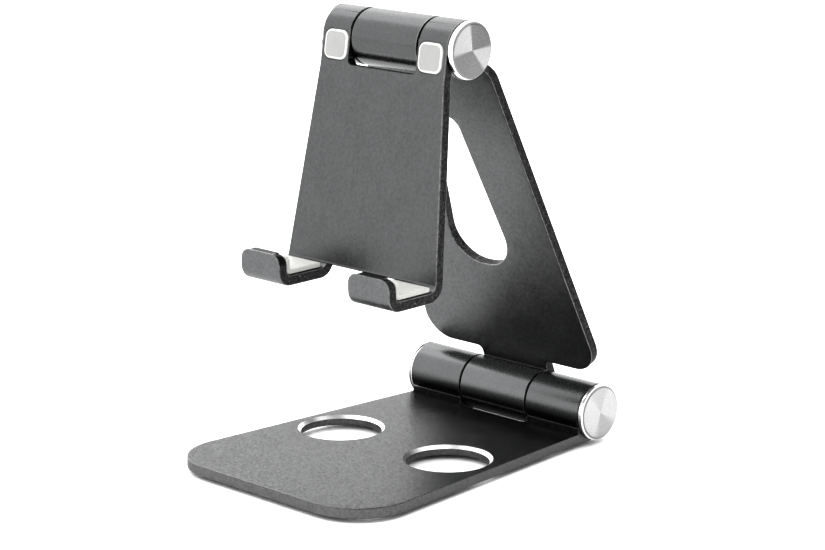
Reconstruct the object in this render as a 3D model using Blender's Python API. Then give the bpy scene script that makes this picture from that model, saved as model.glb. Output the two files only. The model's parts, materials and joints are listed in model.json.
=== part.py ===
"""Folding phone stand: base plate, arm and holder joined by two friction hinges.

Millimetres in the constants, metres in the scene. +X is the object's right,
-Y its front, +Z up. The origin is the middle of the bounding box's bottom face.
Each moving group hangs from an empty that sits on its hinge axis.
In the names, S is a distance along a plate from its hinge axis, HW a half width.
"""

import math
from types import SimpleNamespace

import bmesh
import bpy
from mathutils import Vector

# ---------------------------------------------------------------- dimensions
MM = 0.001
GAP = 0.25            # clearance between a piece and its neighbour
SHEET = 2.9           # thickness of the three plates
BEVEL = 0.3           # edge bevel of turned parts
OVERCUT = 1.0         # how far cutters run past the surface they cut

# Hinges, both along X. Lengths along the axis are measured from the middle.
LOWER = SimpleNamespace(
    name="lower",
    radius=8.0,           # barrel
    seam=12.65,           # middle of the slit between two knuckles
    end=32.3,             # end of the barrel
    cap_face=34.3,        # outer face of the end cap
    bore_floor=23.5,      # floor of the counterbore
    bolt_radius=2.5, head_radius=4.25, head_height=3.6, key=4.0,
    washer_radius=5.3, washer_thickness=0.9,
    nut_flats=8.0, nut_height=2.7,
    springs=3,
)
UPPER = SimpleNamespace(
    name="upper",
    radius=7.9,
    seam=12.4,
    end=23.2,             # also the half width of the ears
    cap_face=25.2,
    bore_floor=16.0,
    bolt_radius=2.0, head_radius=3.5, head_height=3.0, key=3.0,
    washer_radius=4.9, washer_thickness=0.7,
    nut_flats=7.0, nut_height=2.2,
    springs=2,
)
SEAM_HALF = 0.3       # half of the slit between two knuckles
COUNTERBORE_R = 6.0
BUSH_WALL = 1.0
BUSH_START = 3.5      # inner end of each bush
BUSH_INSET = 0.15     # outer end, inside the knuckle's face
FRICTION_HALF = 0.15  # half thickness of a friction washer
FRICTION_INSET = 0.7  # its rim, inside the barrel's surface

# hinge hardware stack, along the bolt
STACK_GAP = 0.2       # beside the counterbore floor, and under the bolt head
SPRING_DISH, SPRING_SHEET, SPRING_GAP = 0.3, 0.4, 0.1
NUT_GAP = 0.15
BOLT_PAST_NUT = 0.6

# feet
FOOT_H = 1.2          # how far the feet lift the base plate
FOOT_R = 7.5
FOOT_SINK = 0.6       # depth of the foot recesses
FEET = (              # x, y, name
    (-27.4, -87.0, "front_left"),
    (27.4, -87.0, "front_right"),
    (-23.5, -17.0, "rear_left"),
    (23.5, -17.0, "rear_right"),
)

# base plate
AXIS_H = 8.2          # lower axis above the plate's underside
UNDER = -AXIS_H
TOP = UNDER + SHEET
BASE_L = 100.0        # hinge axis to front edge
BASE_FRONT_HW = 39.2
BASE_CORNER = 16.0
HOLE_X, HOLE_Y = 20.7, -48.4
HOLE_R = 11.45
HOLE_CHAMFER, HOLE_CHAMFER_UNDER = 0.9, 0.4
NOTCH_Y = -8.55       # front of the gap for the arm's knuckle
LEDGE_Y, LEDGE_UP = -7.15, 4.6   # squared front foot of the knuckles
FLARE_BACK = 0.9      # the outline flares out this far in front of LEDGE_Y

# arm
ARM_LEN = 115.5       # axis to axis
ARM_LEAN = 22.5       # degrees forward of vertical
ARM_BACK = 7.85       # rear face behind the axes
ARM_BOTTOM_S, ARM_TOP_S = 9.35, 106.9
ARM_BOTTOM_HW, ARM_TOP_HW = 32.7, 23.2
CUT_BOTTOM_S, CUT_TOP_S = 40.5, 89.5
CUT_BOTTOM_HW, CUT_TOP_HW = 12.2, 5.2
ARM_HINGES = ((LOWER, 0), (UPPER, ARM_LEN))   # hinge, its S on the arm

# holder
HOLD_LEAN = 8.75      # degrees, foot forward
HOLD_FRONT = 7.7      # front face ahead of the upper axis
HOLD_BACK = HOLD_FRONT - SHEET
HOLD_FLARE_S = 8.8
HOLD_BOTTOM_S = 62.6
HOLD_BOTTOM_HW = 28.2
WINDOW_S = 7.9
REAR_CLEAR_S = 14.0   # depth of the clearing behind the window
REAR_CLEAR_GAP = 0.02
HOOK_IN = 13.0        # inner side of each hook
HOOK_DROOP = 9.0      # ledge, degrees off square to the plate
LIP_LEAN = HOOK_DROOP + 1.0      # lip, degrees off the plate's direction
LEDGE_POINT = (9.3, 66.8)        # on the ledge's underside: forward, down
LIP_POINT = (25.4, 63.0)         # on the lip's front face: forward, down
LIP_TOP_S = 60.3
LIP_CORNER = 3.0
HOOK_BEND_REAR, HOOK_BEND_FRONT = 5.0, 4.0   # outer bend radii

# soft pads
PAD_X, PAD_HW, PAD_CORNER = 17.6, 4.3, 2.3
PAD_TOP_S, PAD_BOTTOM_S = -1.0, 7.1
PAD_SINK, PAD_PROUD = 0.6, 0.45
LINING_GAP, LINING = 0.2, 1.2    # gap to the hook, thickness
LINING_REAR = 9.5                # rear end, ahead of the upper axis
LINING_SHORT = 1.0               # how far it stops below the lip's top
LINING_INSET = 0.4               # from each side of the hook

# raw extrusions and cutters, larger than the pieces they shape
RAW_HW = 60
REACH = 20            # beyond the barrels

SIDES = ((-1, "left"), (1, "right"))

for old in list(bpy.data.objects):
    bpy.data.objects.remove(old, do_unlink=True)


# ---------------------------------------------------------------- materials
ANODISED = dict(colour=(0.050, 0.051, 0.054), rough=0.42, metal=0.85)
SPUN = dict(colour=(0.78, 0.78, 0.78), rough=0.25, metal=1.0)
SILICONE = dict(colour=(0.74, 0.74, 0.71), rough=0.6, metal=0.0)
STEEL = dict(colour=(0.50, 0.50, 0.51), rough=0.32, metal=1.0)
SPRING = dict(colour=(0.30, 0.29, 0.28), rough=0.35, metal=1.0)
NYLON = dict(colour=(0.80, 0.78, 0.72), rough=0.5, metal=0.0)
FRICTION = dict(colour=(0.02, 0.02, 0.02), rough=0.6, metal=0.0)


def material(name, colour, rough, metal):
    made = bpy.data.materials.new(name)
    made.use_nodes = True
    shader = made.node_tree.nodes["Principled BSDF"]
    shader.inputs["Base Color"].default_value = (*colour, 1.0)
    shader.inputs["Roughness"].default_value = rough
    shader.inputs["Metallic"].default_value = metal
    return made


# ---------------------------------------------------------------- objects
def empty(name, parent=None, at=(0, 0, 0), lean=0.0):
    made = bpy.data.objects.new(name, None)
    bpy.context.collection.objects.link(made)
    made.parent = parent
    made.location = Vector(at) * MM
    made.rotation_euler = (math.radians(lean), 0, 0)
    return made


def to_object(name, bm, parent, look=None, at=(0, 0, 0)):
    """Makes an object with its own material, or a hidden helper if look is None."""
    bmesh.ops.remove_doubles(bm, verts=bm.verts, dist=1e-6)
    bmesh.ops.recalc_face_normals(bm, faces=bm.faces)
    bmesh.ops.scale(bm, vec=(MM, MM, MM), verts=bm.verts)
    mesh = bpy.data.meshes.new(name)
    bm.to_mesh(mesh)
    bm.free()
    mesh.shade_smooth()
    mesh.set_sharp_from_angle(angle=math.radians(30))
    made = bpy.data.objects.new(name, mesh)
    bpy.context.collection.objects.link(made)
    made.parent = parent
    made.location = Vector(at) * MM
    if look:
        mesh.materials.append(material(name, **look))
    else:
        made.hide_render = True
        made.display_type = "WIRE"
    return made


def cut(target, name, bm, at=(0, 0, 0), operation="DIFFERENCE"):
    """Adds a boolean with a helper that shares the target's parent."""
    tool = to_object("cut_" + name, bm, target.parent, at=at)
    step = target.modifiers.new(tool.name, "BOOLEAN")
    step.operation = operation
    step.solver = "EXACT"
    step.object = tool


# ---------------------------------------------------------------- outlines
def mirrored(points):
    """The (x, y, radius) points, then their mirror images in reverse order."""
    return points + [(-x, y, radius) for x, y, radius in reversed(points)]


def rounded(corners, steps):
    """A closed outline from (x, y, radius) corners; steps are per quarter turn."""
    out = []
    for i, (x, y, radius) in enumerate(corners):
        here = Vector((x, y))
        if radius <= 0:
            out.append(here)
            continue
        before = (Vector(corners[i - 1][:2]) - here).normalized()
        after = (Vector(corners[(i + 1) % len(corners)][:2]) - here).normalized()
        half = before.angle(after) / 2
        reach = radius / math.tan(half)
        centre = here + (before + after).normalized() * radius / math.sin(half)
        start = here + before * reach - centre
        turn = math.pi - 2 * half
        sign = 1 if start.cross(here + after * reach - centre) > 0 else -1
        count = max(2, round(steps * turn / (math.pi / 2)))
        for k in range(count + 1):
            a = sign * turn * k / count
            out.append(centre + Vector((start.x * math.cos(a) - start.y * math.sin(a),
                                        start.x * math.sin(a) + start.y * math.cos(a))))
    return out


def arc(radius, start, end, down=0.0, steps=48):
    """Points of a circle in (forward, down); degrees run from forwards to upwards."""
    angles = [math.radians(start + (end - start) * k / steps) for k in range(steps + 1)]
    return [(radius * math.cos(a), down - radius * math.sin(a)) for a in angles]


def offset_path(points, radii, depth, steps=6):
    """One side of a bent sheet: the path's corners, moved in by depth and rounded."""
    lines = []
    for a, b in zip(points, points[1:]):
        along = (Vector(b) - Vector(a)).normalized()
        normal = Vector((-along.y, along.x))
        lines.append((Vector(a) + normal * depth, along))
    corners = [lines[0][0]]
    for (p, u), (q, v) in zip(lines, lines[1:]):
        corners.append(p + u * ((q - p).cross(v) / u.cross(v)))
    last = Vector(points[-1]) - Vector(points[-2])
    corners.append(lines[-1][0] + lines[-1][1] * last.length)
    out = [corners[0]]
    for i, radius in enumerate(radii, start=1):
        here = corners[i]
        before = (corners[i - 1] - here).normalized()
        after = (corners[i + 1] - here).normalized()
        half = before.angle(after) / 2
        reach = radius / math.tan(half)
        centre = here + (before + after).normalized() * radius / math.sin(half)
        start = here + before * reach - centre
        end = here + after * reach - centre
        start_angle = math.atan2(start.y, start.x)
        end_angle = math.atan2(end.y, end.x)
        turn = (end_angle - start_angle + math.pi) % (2 * math.pi) - math.pi
        for k in range(steps + 1):
            a = start_angle + turn * k / steps
            out.append(centre + Vector((math.cos(a), math.sin(a))) * radius)
    out.append(corners[-1])
    return out


def hex_outline(across_flats):
    r = across_flats / math.sqrt(3)
    return [(r * math.cos(math.radians(60 * k)), r * math.sin(math.radians(60 * k)))
            for k in range(6)]


# ---------------------------------------------------------------- solids
def top_view(u, v, w):       # u across, v backwards, w up
    return (u, v, w)


def arm_view(u, v, w):       # u across, v along the arm, w backwards
    return (u, w, v)


def holder_view(u, v, w):    # u across, v down the holder, w forwards
    return (u, -w, -v)


def side_view(u, v, w):      # u forwards, v down, w across
    return (w, -u, -v)


def end_view(u, v, w):       # u backwards, v up, w across
    return (w, u, v)


def prism(outline, place, low, high):
    """Extrudes a 2-D outline from low to high. place(u, v, w) gives the point."""
    bm = bmesh.new()
    face = bm.faces.new([bm.verts.new(place(p[0], p[1], low)) for p in outline])
    top = bmesh.ops.extrude_face_region(bm, geom=[face])
    shift = Vector(place(0, 0, high)) - Vector(place(0, 0, low))
    bmesh.ops.translate(bm, vec=shift,
                        verts=[e for e in top["geom"] if isinstance(e, bmesh.types.BMVert)])
    return bm


def turned(profile, segments=32, upright=False):
    """Turns a closed (along, radius) profile about X, or about Z if upright."""
    bm = bmesh.new()
    rings = []
    for k in range(segments):
        a = 2 * math.pi * (k + 0.5) / segments
        c, s = math.cos(a), math.sin(a)
        rings.append([bm.verts.new((r * c, r * s, along) if upright else (along, r * c, r * s))
                      for along, r in profile])
    for k in range(segments):
        one, two = rings[k], rings[(k + 1) % segments]
        for i in range(len(profile)):
            j = (i + 1) % len(profile)
            if profile[i][1] == 0 and profile[j][1] == 0:
                continue
            bm.faces.new((one[i], one[j], two[j], two[i]))
    bmesh.ops.remove_doubles(bm, verts=bm.verts, dist=1e-5)
    bmesh.ops.dissolve_degenerate(bm, dist=1e-6, edges=bm.edges)
    return bm


def rod(low, high, radius):
    """Profile of a plain cylinder."""
    return [(low, 0), (low, radius), (high, radius), (high, 0)]


def hinge_bore(hinge):
    """Bolt hole with a counterbore at both ends of the barrel."""
    end, floor = hinge.end + OVERCUT, hinge.bore_floor
    hole = hinge.bolt_radius + GAP
    return turned([(-end, 0), (-end, COUNTERBORE_R), (-floor, COUNTERBORE_R), (-floor, hole),
                   (floor, hole), (floor, COUNTERBORE_R), (end, COUNTERBORE_R), (end, 0)], 48)


# ---------------------------------------------------------------- frames
base_frame = empty("base_frame", at=(0, BASE_L / 2 - LOWER.radius / 2, FOOT_H + AXIS_H))
arm_frame = empty("arm_frame", base_frame, lean=ARM_LEAN)
spindle_frame = empty("spindle_frame", arm_frame, (0, 0, ARM_LEN))
holder_frame = empty("holder_frame", spindle_frame, lean=-ARM_LEAN - HOLD_LEAN)


# ---------------------------------------------------------------- base plate
def base_section():
    """Plate and barrel seen along X, the barrel's front foot squared down to the plate."""
    foot = -math.degrees(math.asin((AXIS_H - LEDGE_UP) / LOWER.radius))
    points = arc(LOWER.radius, foot, 268)
    front = BASE_L + 10      # trimmed by the outline
    return points + [(points[-1][0], -UNDER), (front, -UNDER), (front, -TOP),
                     (points[0][0], -TOP)]


def build_base():
    base = to_object("base_plate", prism(base_section(), side_view, -RAW_HW, RAW_HW),
                     base_frame, ANODISED)
    slot = LOWER.seam + SEAM_HALF
    outline = rounded(
        mirrored([(-slot, REACH, 0), (-LOWER.end, REACH, 0),
                  (-LOWER.end, LEDGE_Y - FLARE_BACK, 0),
                  (-BASE_FRONT_HW, -BASE_L, BASE_CORNER)])
        + mirrored([(slot, NOTCH_Y, 1.0)]), 14)
    cut(base, "base_outline", prism(outline, top_view, -REACH, REACH), operation="INTERSECT")

    # Round through holes, bevelled at both ends; the bevels run on past the faces.
    under, over = UNDER - OVERCUT, TOP + 0.5
    profile = [(under, 0), (under, HOLE_R + HOLE_CHAMFER_UNDER + OVERCUT),
               (UNDER + HOLE_CHAMFER_UNDER, HOLE_R), (TOP - HOLE_CHAMFER, HOLE_R),
               (over, HOLE_R + HOLE_CHAMFER + 0.5), (over, 0)]
    for side, name in SIDES:
        cut(base, "base_hole_" + name, turned(profile, 56, upright=True),
            at=(HOLE_X * side, HOLE_Y, 0))
    cut(base, "base_bore", hinge_bore(LOWER))
    return base


def build_feet(base):
    """Round pads in shallow recesses of the underside."""
    low, high = UNDER - FOOT_H, UNDER + FOOT_SINK - GAP
    pocket = rod(UNDER - OVERCUT, UNDER + FOOT_SINK, FOOT_R + GAP)
    pad = [(low, 0), (low, FOOT_R - BEVEL), (low + BEVEL, FOOT_R), (high, FOOT_R), (high, 0)]
    for x, y, name in FEET:
        cut(base, "foot_" + name, turned(pocket, upright=True), at=(x, y, 0))
        to_object("foot_pad_" + name, turned(pad, upright=True), base_frame, SILICONE,
                  at=(x, y, 0))


# ---------------------------------------------------------------- arm
def arm_section():
    """Plate and both barrels seen along X, in (forward, down) from the lower axis."""
    def meets(radius):
        """Angles at which the plate's front and rear faces meet a barrel."""
        return [math.degrees(math.acos(face / radius)) for face in (SHEET - ARM_BACK, -ARM_BACK)]

    low_front, low_rear = meets(LOWER.radius)
    up_front, up_rear = meets(UPPER.radius)
    return (arc(LOWER.radius, low_front, low_rear - 360)
            + arc(UPPER.radius, 360 - up_rear, -up_front, -ARM_LEN))


def build_arm():
    arm = to_object("arm_plate", prism(arm_section(), side_view, -RAW_HW, RAW_HW),
                    arm_frame, ANODISED)
    low_hw, up_hw = LOWER.seam - SEAM_HALF, UPPER.seam - SEAM_HALF
    outline = rounded(mirrored([
        (-low_hw, -REACH, 0), (-low_hw, ARM_BOTTOM_S, 1.5),
        (-ARM_BOTTOM_HW, ARM_BOTTOM_S, 8.0), (-ARM_TOP_HW, ARM_TOP_S, 4.5),
        (-up_hw, ARM_TOP_S, 1.2), (-up_hw, ARM_LEN + REACH, 0)]), 8)
    cut(arm, "arm_outline", prism(outline, arm_view, -REACH, REACH), operation="INTERSECT")
    for hinge, s in ARM_HINGES:
        seat = hinge.bolt_radius + GAP + BUSH_WALL + GAP
        end = hinge.seam + OVERCUT
        cut(arm, "arm_bore_" + hinge.name, turned(rod(-end, end, seat), 40), at=(0, 0, s))
    window = rounded(mirrored([(-CUT_BOTTOM_HW, CUT_BOTTOM_S, 9.8)])
                     + mirrored([(CUT_TOP_HW, CUT_TOP_S, 4.6)]), 10)
    cut(arm, "arm_window",
        prism(window, arm_view, ARM_BACK - SHEET - OVERCUT, ARM_BACK + OVERCUT))


# ---------------------------------------------------------------- holder
def hook_corners():
    """Outer corners of the hook in (forward, down): plate back, ledge front, lip top."""
    droop = math.tan(math.radians(HOOK_DROOP))
    lean = math.tan(math.radians(LIP_LEAN))
    ledge_f, ledge_s = LEDGE_POINT
    lip_f, lip_s = LIP_POINT

    def on_ledge(f):
        return (f, ledge_s + (f - ledge_f) * droop)

    front = (lip_f - lean * (ledge_s - ledge_f * droop - lip_s)) / (1 + lean * droop)
    return on_ledge(HOLD_BACK), on_ledge(front), (lip_f - lean * (LIP_TOP_S - lip_s), LIP_TOP_S)


# Ear barrel from the plate's front face, over the top, round to its back face.
EAR = arc(UPPER.radius, math.degrees(math.acos(HOLD_FRONT / UPPER.radius)),
          360 - math.degrees(math.acos(HOLD_BACK / UPPER.radius)))
SHEET_PATH = [EAR[-1], *hook_corners()]


def holder_section():
    """Ear barrel, plate and hook seen along X; the barrel's front is planed flush."""
    outer = offset_path(SHEET_PATH, (HOOK_BEND_REAR, HOOK_BEND_FRONT), 0)
    inner = offset_path(SHEET_PATH, (HOOK_BEND_REAR - SHEET, HOOK_BEND_FRONT - SHEET), -SHEET)
    return EAR + outer[1:] + inner[:0:-1]


def round_lip(target, name, side, inner, outer, top, over, steps):
    """Rounds both top corners of one lip that spans inner to outer across."""
    r = LIP_CORNER
    for end, x, into in (("in", side * inner, side), ("out", side * outer, -side)):
        corner = [(x - into, top - over), (x + into * r, top - over)]
        for k in range(steps + 1):
            a = math.pi / 2 * k / steps
            corner.append((x + into * (r - r * math.sin(a)), top + r - r * math.cos(a)))
        corner.append((x - into, top + r))
        cut(target, "%s_%s" % (name, end), prism(corner, holder_view, 18, 40))


def build_holder():
    holder = to_object("holder_plate", prism(holder_section(), side_view, -RAW_HW, RAW_HW),
                       holder_frame, ANODISED)
    slot = UPPER.seam + SEAM_HALF
    outline = rounded(
        mirrored([(-UPPER.end, -REACH, 0), (-UPPER.end, HOLD_FLARE_S, 6.0),
                  (-HOLD_BOTTOM_HW, HOLD_BOTTOM_S, 12.0), (-HOLD_BOTTOM_HW, 80, 0)])
        + mirrored([(slot, -REACH, 0), (slot, WINDOW_S, 1.6)]), 6)
    cut(holder, "holder_outline", prism(outline, holder_view, -REACH, 45),
        operation="INTERSECT")
    # Behind the plate the barrel is cleared further down than the window.
    back = HOLD_BACK - REAR_CLEAR_GAP
    clear = [(-30, -30), (back, -30), (back, REAR_CLEAR_S), (-30, REAR_CLEAR_S)]
    clear_hw = slot + REAR_CLEAR_GAP
    cut(holder, "window_rear", prism(clear, side_view, -clear_hw, clear_hw))
    # Between the hooks only the plate is left, down to its bottom edge.
    front = HOLD_FRONT + 0.6
    between = [(-30, HOLD_BOTTOM_S), (front, HOLD_BOTTOM_S), (front, 40),
               (60, 40), (60, 90), (-30, 90)]
    cut(holder, "between_hooks", prism(between, side_view, -HOOK_IN, HOOK_IN))
    for side, name in SIDES:
        round_lip(holder, "lip_" + name, side, HOOK_IN, HOLD_BOTTOM_HW, LIP_TOP_S,
                  over=1, steps=8)
    cut(holder, "holder_bore", hinge_bore(UPPER))
    return holder


# ---------------------------------------------------------------- pads
def upper_pad_solid(side, grow, low, high):
    """Rounded block on the plate's front, grown all round by grow."""
    left, right = PAD_X * side - PAD_HW - grow, PAD_X * side + PAD_HW + grow
    top, bottom, radius = PAD_TOP_S - grow, PAD_BOTTOM_S + grow, PAD_CORNER + grow
    shape = rounded([(left, top, radius), (right, top, radius),
                     (right, bottom, radius), (left, bottom, radius)], 6)
    return prism(shape, holder_view, low, high)


def build_upper_pads(holder):
    """Pads set into the holder's front, level with the upper hinge."""
    floor = HOLD_FRONT - PAD_SINK
    for side, name in SIDES:
        cut(holder, "pad_" + name, upper_pad_solid(side, GAP, floor, HOLD_FRONT + 2))
        to_object("upper_pad_" + name,
                  upper_pad_solid(side, 0.0, floor + GAP, HOLD_FRONT + PAD_PROUD),
                  holder_frame, SILICONE)


def lining_side(radius, depth):
    """One face of the lining: from its rear end to a little below the lip's top."""
    points = offset_path(SHEET_PATH, (radius, radius), -depth, 4)
    kept = [p for p in points[1:-1] if p.x > LINING_REAR + 1]
    droop = math.tan(math.radians(HOOK_DROOP))
    first = Vector((LINING_REAR, kept[0].y - (kept[0].x - LINING_REAR) * droop))
    end = points[-1] + (kept[-1] - points[-1]).normalized() * LINING_SHORT
    return [first] + kept + [end]


def build_hook_pads():
    """Soft lining of the hooks: along the ledge, then up the lip."""
    shape = (lining_side(1.0, SHEET + LINING_GAP)
             + lining_side(0.4, SHEET + LINING_GAP + LINING)[::-1])
    inner, outer = HOOK_IN + LINING_INSET, HOLD_BOTTOM_HW - LINING_INSET
    for side, name in SIDES:
        ends = sorted((side * inner, side * outer))
        pad = to_object("hook_pad_" + name, prism(shape, side_view, *ends), holder_frame,
                        SILICONE)
        round_lip(pad, "hook_pad_" + name, side, inner, outer, LIP_TOP_S + LINING_SHORT,
                  over=2, steps=6)


# ---------------------------------------------------------------- hinge hardware
def ring(name, ends, inside, outside, parent, look, segments=32, at=(0, 0, 0)):
    """Plain ring along X between two ends, given in either order."""
    x0, x1 = sorted(ends)
    profile = [(x0, inside), (x0, outside), (x1, outside), (x1, inside)]
    to_object(name, turned(profile, segments), parent, look, at)


def cap(name, side, hinge, parent):
    """End cap: a stepped disc with a hollow spigot that plugs the counterbore."""
    seat, face = hinge.end + 0.15, hinge.cap_face
    tip = seat - 2.2              # inner end of the spigot
    step = seat + 0.5             # the narrower neck ends here
    hollow = seat + 0.6           # floor of the hollow
    spigot = COUNTERBORE_R - GAP
    bore = spigot - 0.8
    neck = hinge.radius - 0.35
    profile = [(tip, bore), (tip, spigot), (seat, spigot), (seat, neck), (step, neck),
               (step, hinge.radius), (face - BEVEL, hinge.radius),
               (face, hinge.radius - BEVEL), (face, 0), (hollow, 0), (hollow, bore)]
    to_object(name, turned([(side * x, r) for x, r in profile], 48), parent, SPUN)


def disc_spring(name, x, flipped, inside, outside, parent):
    """Dished ring whose right side is at x; flipped puts its rim there, not its hole."""
    hole_x, rim_x = (x - SPRING_DISH, x) if flipped else (x, x - SPRING_DISH)
    profile = [(hole_x, inside), (rim_x, outside),
               (rim_x - SPRING_SHEET, outside), (hole_x - SPRING_SHEET, inside)]
    to_object(name, turned(profile), parent, SPRING)


def pivot_bolt(hinge, head_x, end_x, parent):
    """Socket-head bolt along X: head on the right, plain end on the left."""
    radius, head = hinge.bolt_radius, hinge.head_radius
    face = head_x + hinge.head_height
    name = hinge.name + "_pivot_bolt"
    bolt = to_object(name, turned([
        (end_x, 0), (end_x, radius - BEVEL), (end_x + BEVEL, radius), (head_x, radius),
        (head_x, head), (face - BEVEL, head), (face, head - BEVEL), (face, 0)]), parent, STEEL)
    socket = prism(hex_outline(hinge.key), end_view, face - hinge.head_height * 0.55,
                   face + OVERCUT)
    cut(bolt, name, socket)


def lock_nut(hinge, x0, x1, bore, parent):
    name = hinge.name + "_lock_nut"
    nut = to_object(name, prism(hex_outline(hinge.nut_flats), end_view, x0, x1), parent, STEEL)
    cut(nut, name, turned(rod(x0 - OVERCUT, x1 + OVERCUT, bore)))


def build_hinge(hinge, frame, cap_frame):
    """Bolt, washers, springs, nut and caps of one hinge."""
    hole, rim, thick = hinge.bolt_radius + GAP, hinge.washer_radius, hinge.washer_thickness
    start = hinge.bore_floor + STACK_GAP
    # right side: washer, then the bolt's head
    ring(hinge.name + "_washer_right", (start, start + thick), hole, rim, frame, STEEL)
    head_x = start + thick + STACK_GAP
    # left side, going outwards: disc springs, washer, nut
    x = -start
    for k in range(hinge.springs):
        disc_spring("%s_disc_spring_%d" % (hinge.name, k + 1), x, k % 2 == 1, hole, rim, frame)
        x -= SPRING_DISH + SPRING_SHEET + SPRING_GAP
    x -= SPRING_GAP
    ring(hinge.name + "_washer_left", (x - thick, x), hole, rim, frame, STEEL)
    x -= thick + NUT_GAP
    nut_end = x - hinge.nut_height
    lock_nut(hinge, nut_end, x, hole, frame)
    pivot_bolt(hinge, head_x, nut_end - BOLT_PAST_NUT, frame)
    for side, name in SIDES:
        ends = (side * (hinge.seam - FRICTION_HALF), side * (hinge.seam + FRICTION_HALF))
        ring("%s_friction_washer_%s" % (hinge.name, name), ends, hole + BUSH_WALL,
             hinge.radius - FRICTION_INSET, frame, FRICTION, 40)
        cap("%s_cap_%s" % (hinge.name, name), side, hinge, cap_frame)


def build_bushes():
    """Sleeves round both bolts, inside the arm's knuckles."""
    for hinge, s in ARM_HINGES:
        hole = hinge.bolt_radius + GAP
        for side, name in SIDES:
            ends = (side * BUSH_START, side * (hinge.seam - SEAM_HALF - BUSH_INSET))
            ring("%s_bush_%s" % (hinge.name, name), ends, hole, hole + BUSH_WALL,
                 arm_frame, NYLON, at=(0, 0, s))


# ---------------------------------------------------------------- build
base_plate = build_base()
build_feet(base_plate)
build_arm()
holder_plate = build_holder()
build_upper_pads(holder_plate)
build_hook_pads()
build_hinge(LOWER, base_frame, base_frame)
build_hinge(UPPER, spindle_frame, holder_frame)
build_bushes()
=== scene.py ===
"""Folding phone stand: a base plate, a leaning arm and a phone holder with two hooks.

Two hinges run along X; the front faces -Y and the floor lies under the feet. Shapes are built
in millimetres in each group's own frame, with its hinge axis at the origin (the arm uses the
lower one, the holder the upper one), and placed by the frame's joint positions. Booleans and
bevels are baked into the meshes.
"""

import json
import math
from collections import namedtuple

import bmesh
import bpy
from mathutils import Matrix, Vector
from mathutils.geometry import delaunay_2d_cdt


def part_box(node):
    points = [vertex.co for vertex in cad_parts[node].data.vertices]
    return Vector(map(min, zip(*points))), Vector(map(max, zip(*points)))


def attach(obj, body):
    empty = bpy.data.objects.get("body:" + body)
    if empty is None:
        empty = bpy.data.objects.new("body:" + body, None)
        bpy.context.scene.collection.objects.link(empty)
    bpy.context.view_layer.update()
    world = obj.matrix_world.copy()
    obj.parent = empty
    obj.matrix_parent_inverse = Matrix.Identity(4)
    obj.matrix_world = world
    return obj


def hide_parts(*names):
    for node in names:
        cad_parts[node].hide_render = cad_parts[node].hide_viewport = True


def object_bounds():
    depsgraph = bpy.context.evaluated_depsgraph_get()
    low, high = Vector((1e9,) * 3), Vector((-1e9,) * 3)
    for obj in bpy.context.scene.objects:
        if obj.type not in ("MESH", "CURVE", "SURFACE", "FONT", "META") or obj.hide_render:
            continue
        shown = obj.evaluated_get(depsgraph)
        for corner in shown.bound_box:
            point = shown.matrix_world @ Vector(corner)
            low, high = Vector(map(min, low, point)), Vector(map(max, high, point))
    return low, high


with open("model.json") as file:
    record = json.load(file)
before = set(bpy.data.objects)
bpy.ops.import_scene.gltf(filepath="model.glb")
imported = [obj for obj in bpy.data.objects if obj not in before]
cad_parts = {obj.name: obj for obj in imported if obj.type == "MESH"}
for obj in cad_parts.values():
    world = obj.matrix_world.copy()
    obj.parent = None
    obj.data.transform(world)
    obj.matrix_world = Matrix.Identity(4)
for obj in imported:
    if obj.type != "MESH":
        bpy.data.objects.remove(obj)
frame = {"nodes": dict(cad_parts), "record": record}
cad_low, cad_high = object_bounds()

MM = 0.001
joints = {joint["name"]: joint for joint in frame["record"]["behaviour"]["joints"]}
LOWER = Vector(joints["fold"]["pos_m"])
UPPER = Vector(joints["holder_tilt"]["pos_m"])
rest_mount = {mount["name"]: mount for mount in frame["record"]["mounts"]}["device_back_rest"]


# ------------------------------------------------------------------ dimensions, in mm
def half_height(node):
    low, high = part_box(node)
    return round((high.z - low.z) / MM / 2, 2)


def cap_face(node):
    return round(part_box(node)[1].x / MM, 2)


GAP = 0.25              # clearance between fitted parts
SHEET = 2.9             # thickness of every plate
EDGE_BEVEL = 0.28
SEAM_HALF = 0.3         # half the gap between neighbouring knuckles
COUNTERBORE_RADIUS = 6.0
BUSH_WALL = 1.0

# seam, end, floor and cap are distances from the middle along X: the knuckle seam, the end of
# the barrel, the bottom of the counterbore and the outer face of the end cap.
Hinge = namedtuple("Hinge", "radius seam end bolt floor cap")
LOW = Hinge(radius=half_height("lower_cap_right"), seam=12.65, end=32.3, bolt=2.5, floor=23.5,
            cap=cap_face("lower_cap_right"))
UP = Hinge(radius=half_height("upper_cap_right"), seam=12.4, end=23.2, bolt=2.0, floor=16.0,
           cap=cap_face("upper_cap_right"))

# Base: the lower hinge axis is the origin.
base_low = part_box("base_plate")[0]
AXIS_HEIGHT = round((LOWER.z - base_low.z) / MM, 2)
UNDER = -AXIS_HEIGHT
TOP = UNDER + SHEET
BASE_LENGTH = round((LOWER.y - base_low.y) / MM, 2)
BASE_FRONT_HALF, BASE_CORNER = 39.2, 16.0
HOLE_X, HOLE_Y, HOLE_RADIUS = 20.7, -48.4, 11.45
HOLE_CHAMFER, HOLE_UNDER_CHAMFER = 0.9, 0.4
NOTCH_Y, NOTCH_HALF = -8.55, LOW.seam + SEAM_HALF
LEDGE_Y, LEDGE_UP = -7.15, 4.6      # the low wall in front of the knuckles, and its height
LEDGE_TOP = UNDER + LEDGE_UP
FOOT_HEIGHT = round(base_low.z / MM, 2)
FOOT_RADIUS, FOOT_SINK = 7.5, 0.6
FEET = {"front_left": (-27.4, -87.0), "front_right": (27.4, -87.0),
        "rear_left": (-23.5, -17.0), "rear_right": (23.5, -17.0)}

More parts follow.
